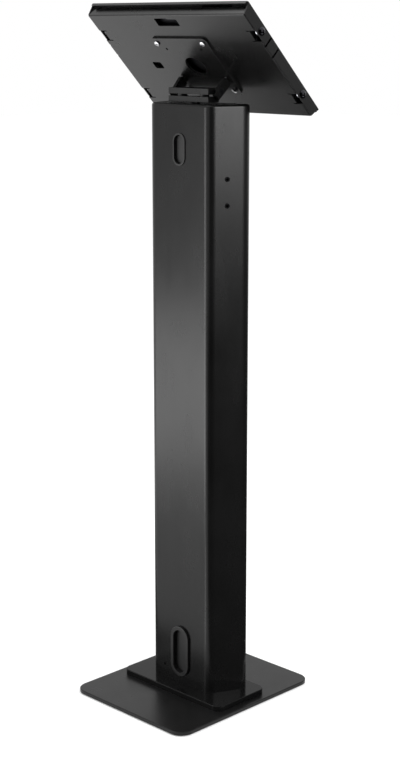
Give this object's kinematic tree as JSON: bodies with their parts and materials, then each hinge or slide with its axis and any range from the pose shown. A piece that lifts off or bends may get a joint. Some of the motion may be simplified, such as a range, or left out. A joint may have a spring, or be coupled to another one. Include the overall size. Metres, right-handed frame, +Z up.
{
  "type": "adjustable tablet floor stand",
  "caption": "Free-standing floor stand with a flared steel column, a tilting and swivelling head and a lockable tablet enclosure.",
  "frame": {"origin": "middle of the base on the floor", "axes": "+Z up, the user stands at -Y and looks at the tablet, +Y is the side of the cable ports"},
  "size_m": [0.3492, 0.31, 1.1302],
  "materials": {
    "black_paint": "satin",
    "gloss_black_paint": "gloss",
    "black_rubber": "matte",
    "black_plastic": "matte",
    "zinc": "satin",
    "bare_steel": "satin",
    "bright_steel": "polished",
    "tablet_grey": "satin",
    "screen_glass": "gloss",
    "dark_steel": "satin"
  },
  "bodies": {
    "stand": {"base_plate": "black_paint", "rubber_pads": "black_rubber", "foot_plate": "gloss_black_paint", "foot_screws": "zinc", "column": "black_paint", "column_end_plate": "bare_steel", "column_bolts": "zinc", "upper_port_collar": "black_plastic", "upper_port_plug": "black_plastic", "lower_port_collar": "black_plastic", "lower_port_plug": "black_plastic", "side_inserts": "dark_steel", "head_stiffener": "bare_steel", "swivel_disc": "black_plastic"},
    "swivel_head": {"lower_block": "black_paint", "upper_block": "black_paint", "block_spacers": "black_plastic", "block_screws": "dark_steel", "swivel_bolt": "dark_steel", "spring_washers": "bare_steel", "swivel_nut": "zinc", "tilt_pivots": "dark_steel", "tilt_washers": "black_plastic"},
    "enclosure": {"left_arm": "black_paint", "right_arm": "black_paint", "arm_screws": "zinc", "vesa_plate": "black_paint", "vesa_screws": "bright_steel", "vesa_nuts": "zinc", "rear_pan": "black_paint", "front_bezel": "black_paint", "security_screws": "dark_steel", "lock_nuts": "zinc", "corner_blocks": "black_plastic", "back_blocks": "black_plastic", "screen_gasket": "black_rubber", "tablet_body": "tablet_grey", "tablet_glass": "screen_glass"}
  },
  "joints": [
    {"name": "head_swivel", "type": "hinge", "parent": "stand", "child": "swivel_head", "pos_m": [0, -0.0015, 0.978], "axis": [0, 0, 1], "range_deg": [-8, 8]},
    {"name": "head_tilt", "type": "hinge", "parent": "swivel_head", "child": "enclosure", "pos_m": [0, -0.011, 0.99685], "axis": [1, 0, 0], "range_deg": [-35, 10]}
  ]
}
